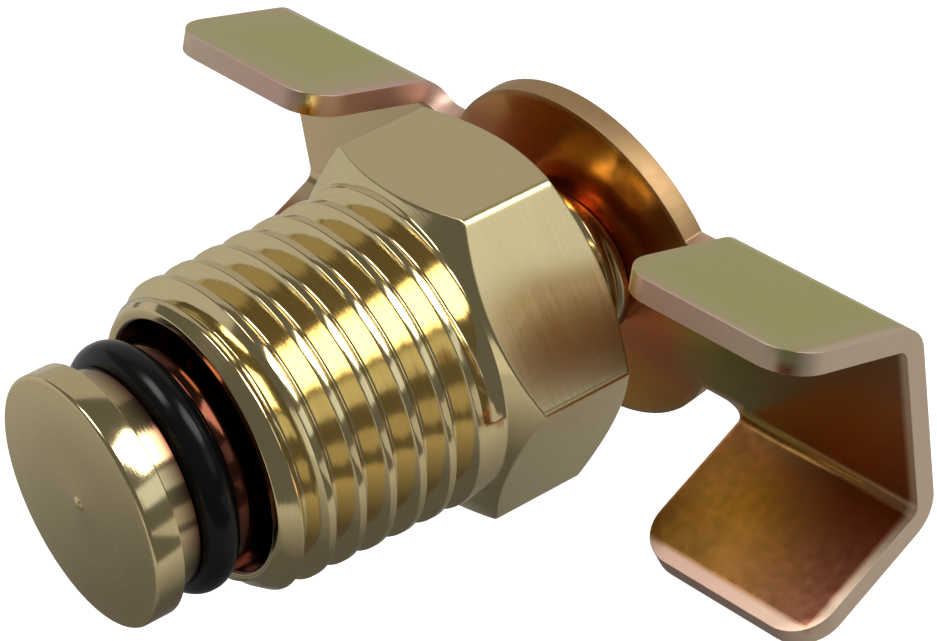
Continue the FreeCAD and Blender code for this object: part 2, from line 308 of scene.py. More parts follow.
class Wiring:
    """Adds nodes to a tree and links them as they are added."""

    def __init__(self, tree):
        self.tree = tree
        self.column = 0

    def add(self, kind, inputs=(), **settings):
        """A new node with its settings, and its inputs linked or filled in."""
        node = self.tree.nodes.new(kind)
        self.column += 1
        node.location = (180 * (self.column % 12), -220 * (self.column // 12))
        for key, value in settings.items():
            setattr(node, key, value)
        pairs = inputs.items() if isinstance(inputs, dict) else enumerate(inputs)
        for key, value in pairs:
            if isinstance(value, bpy.types.NodeSocket):
                self.tree.links.new(value, node.inputs[key])
            elif value is not None:
                node.inputs[key].default_value = value
        return node

    def math(self, operation, *values):
        """The result of a sum, product or other step on plain values."""
        return self.add("ShaderNodeMath", values, operation=operation).outputs[0]


def thread_cutter():
    """Tree that presses a helical V groove into the vertices marked as shank."""
    tree = bpy.data.node_groups.new("Thread cutter", "GeometryNodeTree")
    tree.is_modifier = True
    face = tree.interface
    face.new_socket("Geometry", in_out="INPUT", socket_type="NodeSocketGeometry")
    for name in ("Pitch", "Phase", "Crest radius", "Taper", "Half opening", "Root half",
                 "Flank", "Soft", "Hand", "Start turn", "End turn", "Fade"):
        face.new_socket(name, in_out="INPUT", socket_type="NodeSocketFloat")
    face.new_socket("Material", in_out="INPUT", socket_type="NodeSocketMaterial")
    face.new_socket("Geometry", in_out="OUTPUT", socket_type="NodeSocketGeometry")
    w = Wiring(tree)
    given = w.add("NodeGroupInput").outputs
    place = w.add("ShaderNodeSeparateXYZ", [w.add("GeometryNodeInputPosition").outputs[0]]).outputs
    x, y, z = place[0], place[1], place[2]
    radius = w.math("SQRT", w.math("ADD", w.math("MULTIPLY", y, y), w.math("MULTIPLY", z, z)))
    around = w.math("FRACT", w.math("DIVIDE", w.math("ARCTAN2", z, y), FULL_TURN))
    around = w.math("MULTIPLY", around, given["Hand"])
    along = w.math("DIVIDE", w.math("SUBTRACT", x, given["Phase"]), given["Pitch"])
    turns = w.math("SUBTRACT", along, around)
    nearest = w.math("ROUND", turns)
    off = w.math("ABSOLUTE", w.math("MULTIPLY", w.math("SUBTRACT", turns, nearest), given["Pitch"]))
    slope = w.math("TANGENT", given["Flank"])
    flank = w.math("DIVIDE", w.math("SUBTRACT", given["Half opening"], off), slope)
    full = w.math("SUBTRACT", given["Half opening"], given["Root half"])
    full = w.math("DIVIDE", full, slope)
    depth = w.math("SMOOTH_MAX", flank, 0.0, given["Soft"])
    depth = w.math("SMOOTH_MIN", depth, full, given["Soft"])
    groove_turn = w.math("ADD", nearest, around)
    into = w.math("DIVIDE", w.math("SUBTRACT", given["End turn"], groove_turn), given["Fade"])
    after = w.math("DIVIDE", w.math("SUBTRACT", groove_turn, given["Start turn"]), given["Fade"])
    fade = w.math("MINIMUM", w.math("MINIMUM", into, after), 1.0)
    depth = w.math("MULTIPLY", depth, w.math("MAXIMUM", fade, 0.0))
    crest = w.math("ADD", given["Crest radius"], w.math("MULTIPLY", x, given["Taper"]))
    cut = w.math("MINIMUM", radius, w.math("SUBTRACT", crest, depth))
    shrink = w.math("DIVIDE", cut, radius)
    moved = w.add("ShaderNodeCombineXYZ", [
        x, w.math("MULTIPLY", y, shrink), w.math("MULTIPLY", z, shrink)]).outputs[0]
    shank = w.add("GeometryNodeInputNamedAttribute", {"Name": "shank"}, data_type="FLOAT")
    marked = w.math("GREATER_THAN", shank.outputs[0], 0.5)
    placed = w.add("GeometryNodeSetPosition", {
        "Geometry": given["Geometry"], "Selection": marked, "Position": moved})
    real = w.add("GeometryNodeRealizeInstances", {"Geometry": placed.outputs[0]})
    painted = w.add("GeometryNodeSetMaterial", {
        "Geometry": real.outputs[0], "Material": given["Material"]})
    w.add("NodeGroupOutput", {0: painted.outputs[0]})
    return tree


def run_tree(obj, tree, values):
    """Runs a tree on an object with named inputs and keeps the result as its plain mesh."""
    modifier = obj.modifiers.new(tree.name, "NODES")
    modifier.node_group = tree
    for item in tree.interface.items_tree:
        if item.in_out == "INPUT" and item.name in values:
            modifier[item.identifier] = values[item.name]
    settle(obj)


def settle(obj):
    """Turns an object's modifiers into its plain mesh."""
    graph = bpy.context.evaluated_depsgraph_get()
    mesh = bpy.data.meshes.new_from_object(
        obj.evaluated_get(graph), preserve_all_data_layers=True, depsgraph=graph)
    obj.modifiers.clear()
    obj.data = mesh
    return mesh


def new_object(name, mesh):
    """A new object at the origin that shows a mesh."""
    obj = bpy.data.objects.new(name, mesh)
    bpy.context.scene.collection.objects.link(obj)
    return obj


def dress(obj, material, body, node):
    """Gives a piece its finish and lets it stand for a CAD node."""
    obj.data.materials.clear()
    obj.data.materials.append(material)
    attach(obj, body)
    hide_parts(node)


# Valve body

def corner_columns(per_side):
    """Angles round the axis, closer together at the hexagon's corners."""
    angles = []
    for side in range(6):
        for k in range(per_side):
            t = 2 * k / per_side - 1
            spread = 30 * (0.45 * t + 0.55 * math.sin(math.pi * t / 2))
            angles.append(math.radians(60 * side + 30 + spread))
    angles.append(FULL_TURN)
    return angles


def hexagon_radius(s, theta):
    """Radius of the hexagon's side at an angle, rounded at the corners."""
    turn = math.degrees(theta) % 60 - 30
    half = s.flats / 2
    here = half / math.cos(math.radians(turn))
    beyond = half / math.cos(math.radians(60 - abs(turn)))
    return smooth_min(here, beyond, s.corner)


def crest_at(s, x):
    """Radius over the thread's crests at a place on the axis."""
    return s.mouth_crest + s.taper * x


def flat_edge(edge, run, toward):
    """Places either side of the edge between a cone and a side, the cone lying toward -1 or +1."""
    reach = 0.2 * MM
    inset = min(reach, run * 0.8)
    places = [edge + toward * inset * t for t in (1, 0.5, 0.2, 0)]
    return places + [edge - toward * reach * t for t in (0.2, 0.5, 1)]


def body_column(s, theta, knots):
    """One column of the body: mouth, thread, hexagon, back face and bores. Also its row marks."""
    foot = crest_at(s, 0) - s.lead_depth
    slope = (crest_at(s, s.lead_length) - foot) / s.lead_length
    start = 0.08 * MM
    mouth = rounded([
        (s.seat_chamfer, s.seat_bore),
        (0, s.seat_bore + s.seat_chamfer),
        (0, foot),
        (start, foot + start * slope),
    ], s.edge)
    places = helical_places(
        theta, start, s.hex_front - 0.05 * MM, s.pitch, s.groove_phase, knots)
    places = sorted(places + [s.lead_length + d * MM for d in (-0.06, -0.02, 0.02, 0.06)])
    shank = [(x, smooth_min(crest_at(s, x), foot + x * slope, 0.04 * MM)) for x in places]
    side = hexagon_radius(s, theta)
    front_run = (side - crest_at(s, s.hex_front)) / math.tan(s.front_cone)
    back_run = (side - s.back_face) / math.tan(s.back_cone)
    front, back = s.hex_front + front_run, s.hex_back - back_run
    cone = [s.hex_front + front_run * t for t in (0.02, 0.07, 0.12, 0.17)]
    flat = [front + (back - front) * t for t in (0.2, 0.4, 0.6, 0.8)]
    rear_cone = [s.hex_back - back_run * t for t in (0.16, 0.08)]
    stations = cone + flat_edge(front, front_run, -1) + flat
    stations += list(reversed(flat_edge(back, back_run, 1))) + rear_cone
    sides = []
    for x in stations:
        fore = crest_at(s, s.hex_front) + (x - s.hex_front) * math.tan(s.front_cone)
        aft = s.back_face + (s.hex_back - x) * math.tan(s.back_cone)
        sides.append((x, smooth_min(smooth_min(side, fore, 0.05 * MM), aft, 0.05 * MM)))
    rear = rounded([
        sides[-1],
        (s.hex_back, s.back_face - 0.02 * MM),
        (s.hex_back, s.stem_hole + s.hole_chamfer),
        (s.hex_back - s.hole_chamfer, s.stem_hole),
        (s.seat_depth + s.seat_floor, s.stem_hole),
        (s.seat_depth, s.seat_bore),
        (s.seat_chamfer, s.seat_bore),
    ], s.edge)
    points = mouth + shank + sides + rear
    threaded_rows = len(mouth) + len(shank)
    shank_marks = [1.0] * threaded_rows + [0.0] * (len(sides) + len(rear))
    milled = [0.0] * threaded_rows
    milled += [1.0 if front <= x <= back else 0.0 for x in stations] + [0.0] * len(rear)
    seat_rows, back_face_rows = 3, 8
    bore_rows = len(rear) - back_face_rows
    # Painted shade: the seat bore and the stem hole are marked for the dark brass.
    painted_shade = [1.0] * seat_rows + [0.0] * (len(points) - seat_rows - bore_rows) + [1.0] * bore_rows
    return points, {"shank": shank_marks, "milled": milled, "satin": milled, "painted_shade": painted_shade}


class PETCOCK_OT_body(bpy.types.Operator):
    """Builds the brass body with its tapered pipe thread, hexagon and bores"""
    bl_idname = "petcock.body"
    bl_label = "Valve body"

    def execute(self, context):
        s = context.scene.petcock_body
        knots = thread_knots(s.pitch, s.crest_flat, s.root_flat, s.soft)
        columns = []
        for theta in corner_columns(s.side_columns):
            points, marks = body_column(s, theta, knots)
            columns.append([on_axis(x, r, theta) for x, r in points])
        obj = new_object("threaded_body", mesh_from_columns("threaded_body", columns, marks))
        material = turned_brass("body_brass_turned", 0.10, 0.30)
        half = (s.pitch - s.crest_flat) / 2
        run_tree(obj, thread_cutter(), {
            "Pitch": s.pitch, "Phase": s.groove_phase, "Crest radius": s.mouth_crest,
            "Taper": s.taper, "Half opening": half, "Root half": s.root_flat / 2,
            "Flank": s.flank, "Soft": s.soft, "Hand": 1.0, "Start turn": -3.0,
            "End turn": (s.groove_end - s.groove_phase) / s.pitch, "Fade": s.fade,
            "Material": material})
        dress(obj, material, "body", "valve_body")
        return {"FINISHED"}


# Plunger

def handle_turn():
    """Rotation and place of the staked handle."""
    s = bpy.context.scene.petcock_handle
    lean = Matrix.Rotation(s.skew, 4, "Z") @ Matrix.Rotation(-s.lean, 4, "Y")
    return Matrix.Translation((s.place, 0, 0)) @ Matrix.Rotation(s.turn, 4, "X") @ lean


def nose_profile(s):
    """Turned profile from the nose's middle to the start of the stem's thread."""
    step = s.nose_face + s.nose_width
    groove = step + s.step_width
    land = groove + s.groove_width
    neck = land + s.land_width
    stem = neck + s.neck_length
    return rounded([
        (s.nose_face - s.pip_height, 0),
        (s.nose_face - s.pip_height * 0.8, s.pip_radius * 0.5),
        (s.nose_face, s.pip_radius),
        (s.nose_face, s.nose_radius * 0.5),
        (s.nose_face, s.nose_radius - 0.1 * MM),
        (s.nose_face + 0.1 * MM, s.nose_radius),
        (step, s.nose_radius),
        (step, s.step_radius),
        (groove, s.step_radius),
        (groove, s.groove_radius),
        (land, s.groove_radius),
        (land, s.step_radius),
        (neck, s.step_radius),
        (neck, s.neck_radius),
        (stem, s.neck_radius),
        (stem + 0.6 * MM, s.stem_radius),
        (stem + 0.7 * MM, s.stem_radius),
    ], s.edge)


class PETCOCK_OT_spindle(bpy.types.Operator):
    """Builds the brass plunger with its nose, ring groove, threaded stem and staked head"""
    bl_idname = "petcock.spindle"
    bl_label = "Spindle"

    def execute(self, context):
        s = context.scene.petcock_spindle
        h = context.scene.petcock_handle
        seat = handle_turn()
        front = nose_profile(s)
        low, high = front[-1][0], s.stem_end - 0.1 * MM
        flat = s.stem_pitch * s.crest_share
        root_flat = flat * 0.4
        knots = thread_knots(s.stem_pitch, flat, root_flat, s.soft)
        collar = rounded([
            (high, s.stem_radius),
            (s.stem_end, s.stem_radius),
            (s.stem_end + 0.5 * MM, s.collar_radius),
            (h.place - s.collar_chamfer - 0.3 * MM, s.collar_radius),
        ], s.edge)
        bevel = s.collar_chamfer
        steps = 8
        lip = s.drain_radius + 0.2 * MM
        dome = [(h.sheet + s.head_height * (1 - (k / steps) ** 2),
                 lip + (s.head_radius - lip) * k / steps)
                for k in range(steps, -1, -1)]
        seated = rounded([
            (-bevel, s.collar_radius),
            (-0.02 * MM, s.collar_radius - bevel),
            (0, s.tail_radius),
            (h.sheet, s.tail_radius),
            (h.sheet, s.head_radius - 0.1 * MM),
        ] + dome + [(dome[-1][0] - 0.2 * MM, s.drain_radius)], 0.03 * MM)
        drain = [(h.place, s.drain_radius), (s.drain_start, s.drain_radius),
                 (s.drain_start - s.drain_radius * 0.6, 0)]
        columns = []
        for k in range(s.columns + 1):
            theta = FULL_TURN * k / s.columns
            places = helical_places(theta, low, high, s.stem_pitch, 0, knots, -1)
            straight = front + [(x, s.stem_radius) for x in places] + collar
            points = [on_axis(x, r, theta) for x, r in straight]
            points += [seat @ on_axis(x, r, theta) for x, r in seated]
            points += [on_axis(x, r, theta) for x, r in drain]
            columns.append(points)
        before, threaded = len(front), len(places)
        rest = len(columns[0]) - before - threaded
        marks = {"shank": [0.0] * before + [1.0] * threaded + [0.0] * rest}
        shade_start = s.nose_face + s.nose_width + 1.0 * MM
        hidden = h.place - 4.4 * MM
        others = len(seated) + len(drain)
        # Painted shade: the spindle is marked dark from just behind the nose to inside the hexagon.
        marks["painted_shade"] = [1.0 if shade_start < x < hidden else 0.0 for x, _ in straight] + [0.0] * others
        nose_front = s.nose_face + 0.02 * MM
        marks["satin"] = [1.0 if x < nose_front else 0.0 for x, _ in straight] + [1.0] * others
        obj = new_object("plunger_spindle", mesh_from_columns("plunger_spindle", columns, marks))
        material = turned_brass("spindle_brass_turned", 0.12, 0.26)
        half = (s.stem_pitch - flat) / 2
        run_tree(obj, thread_cutter(), {
            "Pitch": s.stem_pitch, "Phase": 0.0, "Crest radius": s.stem_radius,
            "Taper": 0.0, "Half opening": half, "Root half": root_flat / 2,
            "Flank": s.flank, "Soft": s.soft, "Hand": -1.0,
            "Start turn": low / s.stem_pitch + 0.6, "End turn": high / s.stem_pitch - 0.4,
            "Fade": s.fade, "Material": material})
        drill_cross_hole(obj, s)
        dress(obj, material, "stem", "spindle")
        return {"FINISHED"}


def drill_cross_hole(obj, s):
    """Drills the cross hole that feeds the drain bore."""
    bm = bmesh.new()
    bmesh.ops.create_cone(
        bm, cap_ends=True, segments=48, radius1=s.cross_radius, radius2=s.cross_radius,
        depth=2 * s.stem_radius, matrix=Matrix.Translation((s.drain_start, 0, 0)))
    mesh = bpy.data.meshes.new("cross_drill")
    bm.to_mesh(mesh)
    bm.free()
    drill = new_object("cross_drill", mesh)
    cut = obj.modifiers.new("Cross hole", "BOOLEAN")
    cut.operation = "DIFFERENCE"
    cut.solver = "EXACT"
    cut.object = drill
    settle(obj)
    bpy.data.objects.remove(drill)


# Seal ring

class PETCOCK_OT_ring(bpy.types.Operator):
    """Builds the black rubber seal ring with its fine mould line"""
    bl_idname = "petcock.ring"
    bl_label = "Seal ring"

    def execute(self, context):
        s = context.scene.petcock_ring
        columns = []
        for k in range(s.columns + 1):
            theta = FULL_TURN * k / s.columns
            column = []
            for row in range(s.rows + 1):
                turn = FULL_TURN * row / s.rows
                radius = s.section / 2
                if row % s.rows == s.rows // 2:
                    radius -= 0.01 * MM
                column.append(on_axis(
                    s.place + radius * math.sin(turn), s.centre_radius - radius * math.cos(turn), theta))
            columns.append(column)
        obj = new_object("seal_ring", mesh_from_columns("seal_ring", columns))
        dress(obj, oiled_rubber(), "seal", "o_ring")
        return {"FINISHED"}


# Handle

def arc(centre, radius, start, end, steps):
    """Points on an arc, angles in degrees, both ends included."""
    out = []
    for k in range(steps + 1):
        a = math.radians(start + (end - start) * k / steps)
        out.append((centre[0] + radius * math.cos(a), centre[1] + radius * math.sin(a)))
    return out


def fold_lengths(s, side):
    """Where the upper (+1) or lower (-1) fold starts, its length and angle, and its straight flange."""
    depth, flare = (s.upper_depth, s.upper_flare) if side > 0 else (s.lower_depth, s.lower_flare)
    bend = math.pi / 2 - flare
    tangent = (s.bend + s.sheet) * math.tan(bend / 2)
    return s.half_height - tangent, (s.bend + s.sheet / 2) * bend, bend, depth - tangent


def wing_outline(s, inner, outer):
    """Flat outline of one wing, from below the neck round to above it."""
    notch_side = s.neck + s.notch
    halves = []
    for side in (-1, 1):
        fold_start, fold, _, straight = fold_lengths(s, side)
        reach = fold_start + fold + straight
        half = [(math.sqrt(s.disc_radius ** 2 - s.neck ** 2), -s.neck)]
        half += arc((inner - s.notch, -notch_side), s.notch, 90, 0, 10)
        half += arc((inner + s.tip, -reach + s.tip), s.tip, 180, 270, 10)
        half += arc((outer - s.tip, -reach + s.tip), s.tip, 270, 360, 10)
        halves.append(half)
    return halves[0] + [(y, -z) for y, z in reversed(halves[1])]


def blank_outline(s):
    """Outline of the whole flat blank, anticlockwise from +Y toward +Z."""
    right = wing_outline(s, s.wing_inner + s.wing_offset, s.wing_outer + s.wing_offset)
    left = wing_outline(s, s.wing_inner - s.wing_offset, s.wing_outer - s.wing_offset)
    side = math.degrees(math.asin(s.neck / s.disc_radius))
    top = arc((0, 0), s.disc_radius, side, 180 - side, 48)[1:-1]
    bottom = arc((0, 0), s.disc_radius, 180 + side, 360 - side, 48)[1:-1]
    return right + top + [(-y, z) for y, z in reversed(left)] + bottom


def fold_point(s, point):
    """Where a point of the flat blank goes when the wings are folded."""
    depth, y, z = point
    offset = s.wing_offset if y > 0 else -s.wing_offset
    inner = s.wing_inner + offset
    run = min(max((abs(y) - (inner - s.notch)) / s.notch, 0), 1)
    share = run * run * (3 - 2 * run)
    side = math.copysign(1, z)
    fold_start, fold, full_bend, _ = fold_lengths(s, side)
    past = abs(z) - fold_start
    if past <= 0 or share == 0:
        return Vector(point)
    bend = full_bend * min(past / fold, 1) * share
    middle = s.bend + s.sheet / 2
    radius = middle / share
    along = max(past - fold, 0)
    x = s.sheet / 2 - radius + (radius + depth - s.sheet / 2) * math.cos(bend) - along * math.sin(bend)
    up = fold_start + (radius + depth - s.sheet / 2) * math.sin(bend) + along * math.cos(bend)
    return Vector((x, y, side * up))


def loop_edges(bm, points):
    """A closed loop of edges in the sheet's plane."""
    verts = [bm.verts.new((0, y, z)) for y, z in points]
    return [bm.edges.new((a, b)) for a, b in zip(verts, verts[1:] + verts[:1])]


class PETCOCK_OT_handle(bpy.types.Operator):
    """Stamps, rounds and folds the butterfly handle from one sheet"""
    bl_idname = "petcock.handle"
    bl_label = "Wing handle"

    def execute(self, context):
        s = context.scene.petcock_handle
        bm = bmesh.new()
        edges = loop_edges(bm, blank_outline(s))
        edges += loop_edges(bm, arc((0, 0), s.hole, 0, 360, 48)[:-1])
        bmesh.ops.triangle_fill(bm, use_beauty=True, use_dissolve=False, edges=edges)
        raised = bmesh.ops.extrude_face_region(bm, geom=bm.faces[:])
        for item in raised["geom"]:
            if isinstance(item, bmesh.types.BMVert):
                item.co.x += s.sheet
        bmesh.ops.recalc_face_normals(bm, faces=bm.faces)
        rim = [e for e in bm.edges if len(e.link_faces) == 2 and e.calc_face_angle() > 1.2
               and abs(e.verts[0].co.x - e.verts[1].co.x) < 1e-7]
        bmesh.ops.bevel(bm, geom=rim, offset=s.edge, offset_type="OFFSET", segments=4,
                        profile=0.5, affect="EDGES", clamp_overlap=True)
        self.score(bm, s)
        flat_place = bm.verts.layers.float_vector.new("blank")
        for vert in bm.verts:
            vert[flat_place] = vert.co
            vert.co = fold_point(s, vert.co)
        bmesh.ops.recalc_face_normals(bm, faces=bm.faces)
        bmesh.ops.triangulate(bm, faces=bm.faces)
        mesh = bpy.data.meshes.new("butterfly_handle")
        bm.to_mesh(mesh)
        bm.free()
        mesh.shade_smooth()
        mesh.transform(handle_turn())
        obj = new_object("butterfly_handle", mesh)
        weigh = obj.modifiers.new("Weighted normals", "WEIGHTED_NORMAL")
        weigh.weight = 80
        settle(obj)
        dress(obj, zinc_plating(), "stem", "wing_handle")
        return {"FINISHED"}

    def score(self, bm, s):
        """Cuts lines across the flat blank wherever it has to bend."""
        planes = []
        for side in (1, -1):
            fold_start, fold, _, straight = fold_lengths(s, side)
            lines = [fold_start + fold * k / 10 for k in range(11)]
            lines += [fold_start + fold + straight * k / 3 for k in (1, 2)]
            planes += [((0, 0, side * z), (0, 0, 1)) for z in lines]
            inner = s.wing_inner + side * s.wing_offset
            for k in range(7):
                planes.append(((0, side * (inner - s.notch * k / 6), 0), (0, 1, 0)))
        for place, normal in planes:
            geometry = bm.verts[:] + bm.edges[:] + bm.faces[:]
            bmesh.ops.bisect_plane(bm, geom=geometry, dist=1e-7, plane_co=place, plane_no=normal)


# Finishes

def new_material(name):
    """A material with its wiring helper and its Principled shader."""
    material = bpy.data.materials.new(name)
    material.use_nodes = True
    shader = material.node_tree.nodes["Principled BSDF"]
    return material, Wiring(material.node_tree), shader


def blend_colours(w, factor, low, high):
    """A mix of two colours by a factor."""
    node = w.add("ShaderNodeMix", {"Factor": factor}, data_type="RGBA")
    for key, value in (("A", low), ("B", high)):
        socket = [i for i in node.inputs if i.name == key and i.type == "RGBA"][0]
        if isinstance(value, bpy.types.NodeSocket):
            w.tree.links.new(value, socket)
        else:
            socket.default_value = (*value, 1)
    return [o for o in node.outputs if o.type == "RGBA"][0]


def remap(w, value, low, high, to_low, to_high):
    """A value moved from one range to another and held there."""
    return w.add("ShaderNodeMapRange", [value, low, high, to_low, to_high]).outputs[0]


def noise(w, place, scale, detail=2.0, rough=0.5):
    """Random speckle of a given fineness."""
    return w.add("ShaderNodeTexNoise", {
        "Vector": place, "Scale": scale, "Detail": detail, "Roughness": rough}).outputs[0]


def roughen(w, shader, height, strength):
    """Gives a finish fine relief, a hundredth of a millimetre deep at full strength."""
    bump = w.add("ShaderNodeBump", {
        "Strength": strength, "Distance": 0.01 * MM, "Height": height})
    w.tree.links.new(bump.outputs[0], shader.inputs["Normal"])


def turned_brass(name, gloss, satin):
    """Brass with fine lathe rings, satin where the hexagon is milled, and darkened with painted shade
    inside the bores and on the stem within the body.
    """
    c = bpy.context.scene.petcock_finish
    material, w, shader = new_material(name)
    place = w.add("ShaderNodeTexCoord").outputs["Object"]
    split = w.add("ShaderNodeSeparateXYZ", [place]).outputs
    squares = [w.math("MULTIPLY", split[k], split[k]) for k in (1, 2)]
    radius = w.math("SQRT", w.math("ADD", *squares))
    ring_place = w.add("ShaderNodeCombineXYZ", [split[0], radius, 0.0]).outputs[0]
    rings = noise(w, ring_place, 9000.0, 3.0, 0.6)
    grain_place = w.add("ShaderNodeMapping", {"Vector": place, "Scale": (1.0, 0.04, 0.04)}).outputs[0]
    grain = noise(w, grain_place, 7000.0, 3.0, 0.6)
    clouds = noise(w, place, 160.0)
    specks = noise(w, place, 2600.0)
    milled = w.add("ShaderNodeAttribute", attribute_name="milled").outputs["Fac"]
    dulled = w.add("ShaderNodeAttribute", attribute_name="satin").outputs["Fac"]
    # Painted shade: the marked rows and everything inside the stem hole take the dark brass.
    painted_shade = w.add("ShaderNodeAttribute", attribute_name="painted_shade").outputs["Fac"]
    behind_mouth = w.math("MULTIPLY", w.math("GREATER_THAN", split[0], 0.2 * MM),
                          w.math("LESS_THAN", split[0], 15.4 * MM))
    hidden = w.math("MULTIPLY", behind_mouth, w.math("LESS_THAN", radius, 4.02 * MM))
    painted_shade = w.math("MAXIMUM", painted_shade, hidden)
    marks = w.add("ShaderNodeMix", {"Factor": milled, "A": rings, "B": grain}, data_type="FLOAT")
    marks = marks.outputs[0]
    tint = w.math("MAXIMUM", remap(w, clouds, 0.35, 0.65, 0.0, 0.7), milled)
    base = blend_colours(w, tint, c.brass, c.brass_pale)
    base = blend_colours(w, remap(w, marks, 0.35, 0.7, 0.0, 0.12), base, c.brass_dull)
    base = blend_colours(w, painted_shade, base, c.brass_in_painted_shade)
    w.tree.links.new(base, shader.inputs["Base Color"])
    smooth = w.math("ADD", remap(w, rings, 0.3, 0.7, gloss - 0.02, gloss + 0.04),
                    remap(w, clouds, 0.3, 0.7, -0.01, 0.02))
    grainy = remap(w, marks, 0.3, 0.7, satin - 0.03, satin + 0.04)
    rough = w.add("ShaderNodeMix", {"Factor": dulled, "A": smooth, "B": grainy}, data_type="FLOAT")
    w.tree.links.new(rough.outputs[0], shader.inputs["Roughness"])
    height = w.math("ADD", marks, w.math("MULTIPLY", specks, 0.35))
    roughen(w, shader, height, 0.22)
    shader.inputs["Metallic"].default_value = 1.0
    return material


def oiled_rubber():
    """Black rubber with an oily gloss and faint mould grain."""
    c = bpy.context.scene.petcock_finish
    material, w, shader = new_material("oiled_rubber")
    place = w.add("ShaderNodeTexCoord").outputs["Object"]
    grain = noise(w, place, 3500.0, 3.0)
    film = noise(w, place, 350.0, 3.0)
    base = blend_colours(w, film, c.rubber, (0.008, 0.008, 0.008))
    w.tree.links.new(base, shader.inputs["Base Color"])
    w.tree.links.new(remap(w, film, 0.3, 0.7, 0.16, 0.24), shader.inputs["Roughness"])
    roughen(w, shader, grain, 0.2)
    shader.inputs["IOR"].default_value = 1.28
    return material


def zinc_plating():
    """Yellow passivated zinc, whose film shifts from olive to amber and rose by place, with dark red
    painted shade in the folds and on the disc's inner face.

    The place is read from the attribute blank, a point's place on the sheet before folding."""
    c = bpy.context.scene.petcock_finish
    s = bpy.context.scene.petcock_handle
    material, w, shader = new_material("yellow_zinc")
    place = w.add("ShaderNodeTexCoord").outputs["Object"]
    flat = w.add("ShaderNodeAttribute", attribute_name="blank").outputs["Vector"]
    depth, y, z = w.add("ShaderNodeSeparateXYZ", [flat]).outputs[:3]
    far = remap(w, y, -6 * MM, 9 * MM, 0.0, 1.0)
    y, z = w.math("ABSOLUTE", y), w.math("ABSOLUTE", z)
    drift = noise(w, place, 70.0, 0.0)
    grain = noise(w, place, 2400.0, 3.0)
    wander = remap(w, drift, 0.3, 0.7, -1.2 * MM, 1.2 * MM)
    along = w.math("ADD", y, wander)
    fold_start, fold, _, straight = fold_lengths(s, 1)
    reach = fold_start + fold + straight
    off_centre = w.math("SQRT", w.math("ADD", w.math("MULTIPLY", y, y), w.math("MULTIPLY", z, z)))
    to_disc_rim = w.math("SUBTRACT", s.disc_radius, off_centre)
    to_end = w.math("SUBTRACT", s.wing_outer, y)
    to_tip = w.math("SUBTRACT", reach, z)
    from_inner = w.math("MAXIMUM", w.math("SUBTRACT", y, s.wing_inner), w.math("SUBTRACT", s.neck, z))
    on_wing = w.math("MINIMUM", w.math("MINIMUM", to_end, to_tip), from_inner)
    to_rim = w.math("MAXIMUM", on_wing, to_disc_rim)
    rim = remap(w, w.math("ADD", to_rim, wander), 0.0, 3.2 * MM, 1.0, 0.0)
    inside = remap(w, depth, 0.25 * s.sheet, 0.6 * s.sheet, 1.0, 0.0)
    past_fold = w.math("ADD", w.math("SUBTRACT", z, fold_start + fold), wander)
    on_flange = remap(w, past_fold, -0.6 * MM, 0.4 * MM, 0.0, 1.0)
    in_fold = remap(w, past_fold, 0.0, 2.6 * MM, 1.0, 0.0)
    near_disc = remap(w, along, s.wing_inner - 3.0 * MM, s.wing_inner - 0.2 * MM, 1.0, 0.0)
    outward = remap(w, along, s.wing_inner + 2.5 * MM, s.wing_outer - 1.5 * MM, 0.0, 1.0)
    flange = blend_colours(w, outward, c.plate_amber, c.plate_plum)
    # Painted shade: the flanges' inner faces turn dark red toward the fold.
    flange = blend_colours(w, w.math("MULTIPLY", in_fold, 0.8), flange, c.red_painted_shade)
    web = blend_colours(w, far, c.plate_brown, c.plate_straw)
    mossy = remap(w, y, s.wing_inner - 1.5 * MM, s.wing_inner + 4.5 * MM, 0.8, 0.0)
    web = blend_colours(w, w.math("MULTIPLY", mossy, w.math("SUBTRACT", 1.0, far)), web, c.plate_moss)
    # Painted shade: the disc's inner face and the web beside it turn dark red.
    web = blend_colours(w, near_disc, web, c.red_painted_shade)
    inner = blend_colours(w, on_flange, web, flange)
    inner = blend_colours(w, w.math("MULTIPLY", rim, 0.12), inner, c.plate_rose)
    outer = blend_colours(w, w.math("MULTIPLY", rim, 0.5), c.plate_olive, c.plate_rose)
    base = blend_colours(w, inside, outer, inner)
    edge = remap(w, to_rim, 0.02 * MM, 0.35 * MM, 1.0, 0.0)
    # Painted highlight: the cut edges grow paler toward the wings' outer ends.
    paler = remap(w, along, s.wing_inner + 4 * MM, s.wing_outer, 0.0, 0.75)
    sheared = blend_colours(w, paler, c.plate_rose, c.rim_painted_highlight)
    on_disc = remap(w, y, s.wing_inner - 2.2 * MM, s.wing_inner - 1.4 * MM, 1.0, 0.0)
    sheared = blend_colours(w, on_disc, sheared, c.plate_tan)
    base = blend_colours(w, edge, base, sheared)
    w.tree.links.new(base, shader.inputs["Base Color"])
    rough = w.math("ADD", remap(w, grain, 0.3, 0.7, 0.22, 0.27), w.math("MULTIPLY", edge, 0.26))
    w.tree.links.new(rough, shader.inputs["Roughness"])
    roughen(w, shader, grain, 0.04)
    shader.inputs["Metallic"].default_value = 1.0
    return material


# Stage

def distance_from(w, x, y, middle, reach):
    """Distance from a point on the floor, as a share of the reach along each axis."""
    squares = []
    for value, centre, size in ((x, middle[0], reach[0]), (y, middle[1], reach[1])):
        off = w.math("DIVIDE", w.math("SUBTRACT", value, centre), size)
        squares.append(w.math("MULTIPLY", off, off))
    return w.math("SQRT", w.math("ADD", *squares))


